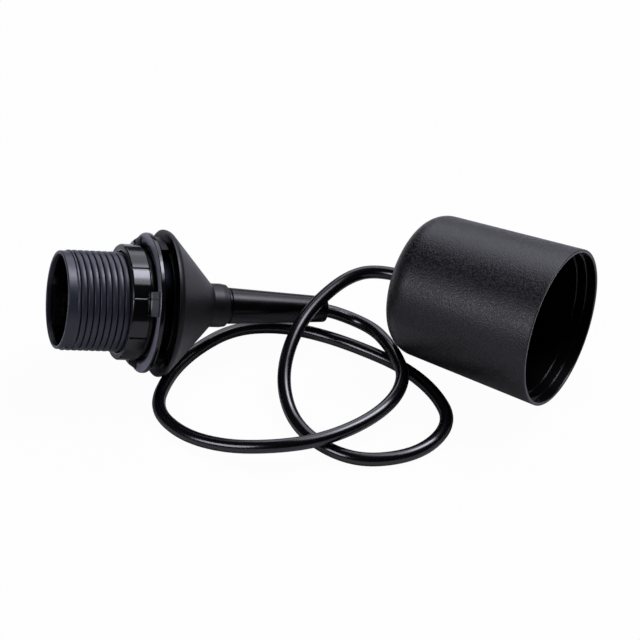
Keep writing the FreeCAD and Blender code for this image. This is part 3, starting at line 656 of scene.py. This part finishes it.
ring = {"bore": 20.5, "collar": 23.5, "back": 8.45, "front": 18.25, "bevel": 0.45, "lead": 0.5, "neck": 22.0,
        "neckFront": 10.8, "lug": 27.6, "lugSlope": 2.1, "lugFront": 11.7, "lugTurns": (-108.0, 0.0, 108.0),
        "lugHalf": 11.5, "lugSide": 1.0, "facets": 20, "facetDepth": 0.3, "swell": 0.7, "grooves": 10,
        "grooveWidth": 1.2, "grooveDepth": 0.7, "grooveEdges": (0.5, 1.1), "seamTurn": 4.3, "seam": 0.12,
        "seamEdges": (0.2, 0.7), "phase": 125.7, "faceDull": 0.6, "sharp": 50.0}
# columns of the ring's grid, in degrees: even ones, and closer ones over each groove, lug side and seam
ringColumns = {"step": 1.0, "groove": np.linspace(-1.9, 1.9, 15), "seam": np.linspace(-0.8, 0.8, 9),
               "lugSide": np.linspace(-ring["lugSide"], ring["lugSide"], 9), "digits": 3, "least": 0.08}
# rounding of each corner of the ring's outline, its share of the shorter side at most, and the rows between
ringRows = {"rounds": (0.15, 0.55, 0.7, 0.3, 0.3, 0.25, 0.15, 0.15), "most": 0.45,
            "arc": np.linspace(0, 1, 7), "run": (0.03, 0.2, 0.4, 0.6, 0.8, 0.97)}
lugCorner, faceCorner = 1, 5  # where in the outline the lugs' slope and the collar's front face start
# the washer's front face is lighter, as a painted reflection, only outside the given radius; nearer the bore it
# stays glossy black
washer = {"bore": 20.5, "boreRound": 0.2, "rim": 28.5, "back": 6.1, "front": 8.3, "edge": 0.6,
          "reflectionFrom": 24.0, "reflectionFade": 1.2, "faceEdges": (-0.25, -0.05), "columns": 240}


def ringTurns(lugMarks, seamMark):
    # turns of the ring's columns in degrees, sorted, none closer than the least step
    c = ringColumns
    grooveMarks = ring["phase"] + np.arange(ring["grooves"]) * 360 / ring["grooves"]
    marks = [np.arange(0, 360, c["step"]), (grooveMarks[:, None] + c["groove"]).ravel(),
             (lugMarks[:, None] - ring["lugHalf"] + c["lugSide"]).ravel(),
             (lugMarks[:, None] + ring["lugHalf"] + c["lugSide"]).ravel(), seamMark + c["seam"]]
    degrees = np.unique(np.round(np.concatenate(marks) % 360, c["digits"]))
    return degrees[np.append(True, np.diff(degrees) > c["least"])]


def shadeRing():
    # outline whose neck and collar radii change with the turn: flats between grooves, three lugs with
    # rounded sides, and the thin seam of the mould beside one of them; each corner is a quadratic curve
    r = ring
    lugMarks = r["phase"] + np.array(r["lugTurns"])
    seamMark = r["phase"] + r["seamTurn"]
    degrees = ringTurns(lugMarks, seamMark)

    def offsetFrom(count):
        pitch = 360 / count
        return (degrees - r["phase"] + pitch / 2) % pitch - pitch / 2

    flatTurn = np.radians(180 / r["facets"] - np.abs(offsetFrom(r["facets"])))
    flat = (r["collar"] - r["facetDepth"]) / np.cos(flatTurn)
    flat = flat + r["swell"] * (r["collar"] - flat).clip(0)
    away = np.abs(np.radians(offsetFrom(r["grooves"]))) * r["collar"]
    onSeamLug = np.abs(degrees - r["phase"]) < r["lugHalf"]
    notch = r["grooveDepth"] * (1 - smooth(*r["grooveEdges"], away / (r["grooveWidth"] / 2))) * ~onSeamLug
    seam = r["seam"] * (1 - smooth(*r["seamEdges"], np.abs(degrees - seamMark)))
    collar = np.minimum(r["collar"], flat) - notch + seam
    lugAway = np.abs((degrees - lugMarks[:, None] + 180) % 360 - 180).min(0)
    lugShare = 1 - smooth(-r["lugSide"], r["lugSide"], lugAway - r["lugHalf"])
    foot = r["neck"] + (r["lug"] - r["neck"]) * lugShare + seam
    footFront = foot - r["lugSlope"] * lugShare
    footTop = r["neckFront"] + (r["lugFront"] - r["neckFront"]) * lugShare
    one = np.ones_like(degrees)
    corners = [(r["bore"] * one, r["back"] * one), (foot, r["back"] * one), (footFront, footTop),
               (collar, footTop), (collar, (r["front"] - r["bevel"]) * one),
               (collar - r["bevel"], r["front"] * one), ((r["bore"] + r["lead"]) * one, r["front"] * one),
               (r["bore"] * one, (r["front"] - r["lead"]) * one)]
    corners = np.array(corners)
    radius, height, dull = [], [], []
    for i, rounding in enumerate(ringRows["rounds"]):
        here = corners[i]
        back, ahead = corners[i - 1] - here, corners[(i + 1) % len(corners)] - here
        backLength, aheadLength = np.linalg.norm(back, axis=0), np.linalg.norm(ahead, axis=0)
        reach = np.minimum(rounding, ringRows["most"] * np.minimum(backLength, aheadLength))
        start, end = here + ahead / aheadLength * reach, here + ahead - ahead / aheadLength * reach
        rows = [here + (back / backLength * (1 - share) ** 2 + ahead / aheadLength * share ** 2) * reach
                for share in ringRows["arc"]]
        rows += [start + (end - start) * share for share in ringRows["run"]]
        radius += [row[0] for row in rows]
        height += [row[1] for row in rows]
        # tag dull: the lugs' outer faces, lighter as a painted reflection, and a share on the collar's front face
        dull += [lugShare * (i == lugCorner) + r["faceDull"] * one * (i == faceCorner)] * len(rows)
    return ringSheet("shadeRing", np.array(radius), np.array(height), np.radians(degrees)[None], holderPlace,
                     {"dull": np.array(dull)}, r["sharp"])


def shadeWasher():
    # flat ring with round edges; tag dull is 1 on its front face outside a given radius, where the lighter colour
    # is a painted reflection
    w = washer

    def faceShare(loop):
        onFace = smooth(*w["faceEdges"], loop[:, 1] - w["front"])
        return onFace * smooth(w["reflectionFrom"], w["reflectionFrom"] + w["reflectionFade"], loop[:, 0])

    outline = [(w["bore"], w["back"], w["boreRound"]), (w["rim"], w["back"], w["edge"]),
               (w["rim"], w["front"], w["edge"]), (w["bore"], w["front"], w["boreRound"])]
    return turnedPiece("shadeWasher", outline, w["columns"], holderPlace, ("dull", faceShare))


dress(shadeRing(), ownFinishes["ring"], "ring", "gloss_black", "shade_ring")
dress(shadeWasher(), ownFinishes["washer"], "washer", "gloss_black", "shade_washer")
print("shade ring and washer made")


# Cone cap and strain relief

cap = {"rim": 30.0, "front": 0.84, "lip": 0.7, "lipRound": 0.15, "rimRound": 0.12, "shoulder": 3.2,
       "shoulderCorner": -0.891, "lean": 47.3, "waist": 0.8, "coneEnd": -20.27, "collar": 9.0,
       "collarEnd": -27.12, "taper": 0.4, "taperLong": 2.5, "taperRound": 0.8, "endRound": 0.4, "bore": 6.2,
       "boreRound": 0.2, "wall": 2.0, "hollowRound": 0.4, "columns": 256, "arcStep": 5.0}
sleeve = {"bore": 22.15, "wall": 1.8, "top": 1.5, "edge": 0.3, "columns": 128}
rib = {"count": 6, "width": 1.4, "top": -1.16, "gap": 0.3, "across": (-0.5, -0.47, 0.47, 0.5),
       "inset": (0.988, 1.0, 1.0, 0.988)}
tube = {"bore": 2.9, "boreRound": 0.2, "spigot": 6.05, "spigotEnd": -21.12, "neck": 7.0, "beadStart": -27.32,
        "bead": 7.6, "beadEnd": -28.32, "beadRound": 0.4, "shoulder": -28.62, "start": 7.5, "end": 5.35,
        "tip": -71.32, "tipRound": 1.1, "flare": 3.85, "flareRound": 0.25, "flareLength": 4.5, "edge": 0.4,
        "columns": 128, "arcStep": 9.0}


def coneHeight(radius):
    # height of the cone's outer face at a radius
    return (radius - cap["collar"]) / math.tan(math.radians(cap["lean"])) + cap["coneEnd"]


def capRib(angle, web):
    # flat web: a four-cornered outline in the plane of the axis, carried across its width
    spoke = math.radians(angle)
    across = np.array(rib["across"])[:, None] * rib["width"]
    inset = np.array(rib["inset"])[:, None, None]
    centre = web.mean(0)
    shaped = centre + (web - centre)[None] * inset
    radial = shaped[..., 0]
    local = np.stack([radial * math.cos(spoke) - across * math.sin(spoke),
                      radial * math.sin(spoke) + across * math.cos(spoke), shaped[..., 1]], axis=-1) * mm
    points = (local @ holderAxes + holderOrigin).reshape(-1, 3)
    around = sheetFaces(len(across), len(web), False, True)[:, ::-1]
    loop = np.arange(len(web))
    ends = np.stack([loop[::-1], loop + (len(across) - 1) * len(web)])
    return meshPiece("capRib", points, [around, ends])


def coneCap():
    # shell of revolution, inner sleeve that takes the barrel's spigot, and flat ribs between the two
    c, s = cap, sleeve
    hollow = c["wall"] / math.cos(math.radians(c["lean"]))
    innerRim = c["rim"] - c["wall"]
    coneOutline = [(c["rim"] - c["lip"], c["front"], c["lipRound"]), (c["rim"], c["front"], c["rimRound"]),
                   (c["rim"], c["shoulderCorner"], c["shoulder"]), (c["collar"], c["coneEnd"], c["waist"]),
                   (c["collar"], c["collarEnd"] + c["taperLong"], c["taperRound"]),
                   (c["collar"] - c["taper"], c["collarEnd"], c["endRound"]),
                   (c["bore"], c["collarEnd"], c["boreRound"]), (c["bore"], coneHeight(c["bore"] + hollow)),
                   (innerRim, coneHeight(innerRim + hollow), c["hollowRound"])]
    cone = turnedPiece("coneShell", coneOutline, c["columns"], holderPlace, arcStep=c["arcStep"])
    outer = s["bore"] + s["wall"]
    middle = s["bore"] + s["wall"] / 2
    foot = coneHeight(middle + hollow / 2)
    sleeveOutline = [(s["bore"], foot), (outer, foot), (outer, s["top"], s["edge"]),
                     (s["bore"], s["top"], s["edge"])]
    lining = turnedPiece("capSleeve", sleeveOutline, s["columns"], holderPlace)
    reach = innerRim - rib["gap"]
    web = np.array([(middle, foot), (reach, coneHeight(reach + hollow / 2)), (reach, rib["top"]),
                    (middle, rib["top"])])
    ribs = [capRib(k * 360 / rib["count"], web) for k in range(rib["count"])]
    return merged("coneCap", [cone, lining] + ribs)


def reliefTube():
    # body of revolution: spigot in the cap's collar, bead, shoulder, and a long taper to the flared tip
    t = tube
    outline = [(t["bore"], t["spigotEnd"], t["boreRound"]), (t["spigot"], t["spigotEnd"], t["edge"]),
               (t["spigot"], cap["collarEnd"]), (t["neck"], cap["collarEnd"]), (t["neck"], t["beadStart"]),
               (t["bead"], t["beadStart"], t["beadRound"]), (t["bead"], t["beadEnd"], t["beadRound"]),
               (t["neck"], t["beadEnd"]), (t["neck"], t["shoulder"]), (t["start"], t["shoulder"], t["edge"]),
               (t["end"], t["tip"], t["tipRound"]), (t["flare"], t["tip"], t["flareRound"]),
               (t["bore"], t["tip"] + t["flareLength"])]
    return turnedPiece("reliefTube", outline, t["columns"], holderPlace, arcStep=t["arcStep"])


dress(coneCap(), slotFinishes["matte_black"], "holder", "matte_black", "cone_cap")
dress(reliefTube(), ownFinishes["tube"], "holder", "matte_black", "strain_relief_tube")
print("cap and strain relief turned")


# Ceiling cup

cup.update({"mouth": 32.65, "end": 29.35, "endRound": 10.4, "rimWall": 1.4, "rimEdge": 0.4, "step": 0.5,
            "stepRound": 0.12, "firstStep": 4.0, "secondStep": 8.0, "endWall": 2.6, "hole": 4.2,
            "holeOuter": 0.3, "holeInner": 0.2, "insideEdges": (0.5, 1.0), "insideFrom": 0.5,
            "columns": 288, "outlineStep": 1.6, "arcStep": 5.0})


def ceilingCup():
    # tapered wall with a round closed end, two step rings inside the mouth; tag inside marks the inner wall
    c = cup
    taper = (c["mouth"] - c["end"]) / c["length"]
    rim = c["mouth"] - c["rimWall"]
    first, second = c["length"] - c["firstStep"], c["length"] - c["secondStep"]
    wall = c["rimWall"] + 2 * c["step"]

    def insideShare(loop):
        # by how far a point lies under the outer face
        sunk = (c["endRound"] - loop[:, 1]).clip(0, c["endRound"])
        outer = c["end"] + taper * loop[:, 1] - c["endRound"] + np.sqrt(c["endRound"] ** 2 - sunk ** 2)
        return smooth(*c["insideEdges"], outer - loop[:, 0]) * (loop[:, 1] > c["endWall"] - c["insideFrom"])

    outline = [(c["hole"], 0, c["holeOuter"]), (c["end"], 0, c["endRound"]),
               (c["mouth"], c["length"], c["rimEdge"]), (rim, c["length"], c["rimEdge"]),
               (rim - taper * c["firstStep"], first),
               (rim - c["step"] - taper * c["firstStep"], first, c["stepRound"]),
               (rim - c["step"] - taper * c["secondStep"], second),
               (rim - 2 * c["step"] - taper * c["secondStep"], second, c["stepRound"]),
               (c["end"] - wall + taper * c["endWall"], c["endWall"], c["endRound"] - wall),
               (c["hole"], c["endWall"], c["holeInner"])]
    return turnedPiece("ceilingCup", outline, c["columns"], cupPlace, ("inside", insideShare),
                       step=c["outlineStep"], arcStep=c["arcStep"])


dress(ceilingCup(), slotFinishes["cup_black"], "cup", "cup_black", "ceiling_cup")
print("ceiling cup turned")


# Screw shell with its rolled lamp thread

shell = {"bore": 13.3, "wall": 0.45, "seat": 14.6, "top": 32.1, "flangeBore": 11.4, "footLong": 1.0,
         "pitch": 3.629, "wave": 0.62, "fadeIn": (0.6, 2.4), "mouthLong": 1.5, "mouthFade": 0.6,
         "columns": 120, "rowsPerPitch": 16, "sharp": 60.0}


def screwShell():
    # thin wall whose radius waves along a right-hand helix, fading out at the flange and at the mouth
    s = shell
    outer = s["bore"] + s["wall"]
    rows = int((s["top"] - s["seat"] - s["footLong"]) / s["pitch"] * s["rowsPerPitch"])
    heights = np.linspace(s["seat"] + s["footLong"], s["top"], rows)
    foot = np.array([(s["flangeBore"], s["seat"] + s["wall"]), (s["flangeBore"], s["seat"]),
                     (outer, s["seat"])])
    outside = np.column_stack([np.full(rows, outer), heights])
    inside = np.column_stack([np.full(rows, outer) - s["wall"], heights])[::-1]
    loop = np.concatenate([foot, outside, inside, [(s["bore"], s["seat"] + s["wall"])]])
    turn = turns(s["columns"])
    height = loop[:, 1:]
    phase = 2 * math.pi * height / s["pitch"] - turn
    fadeFrom, fadeTo = (s["seat"] + share for share in s["fadeIn"])
    keep = smooth(fadeFrom, fadeTo, height)
    keep = keep * (1 - s["mouthFade"] * smooth(s["top"] - s["mouthLong"], s["top"], height))
    keep = keep * (np.arange(len(loop)) >= len(foot))[:, None]
    radius = loop[:, :1] + s["wave"] * keep * 0.5 * (np.cos(phase) - 1)
    return ringSheet("screwShell", radius, height, turn, holderPlace, sharp=s["sharp"])


dress(screwShell(), slotFinishes["brass"], "holder", "brass", "screw_shell")
print("screw shell rolled")
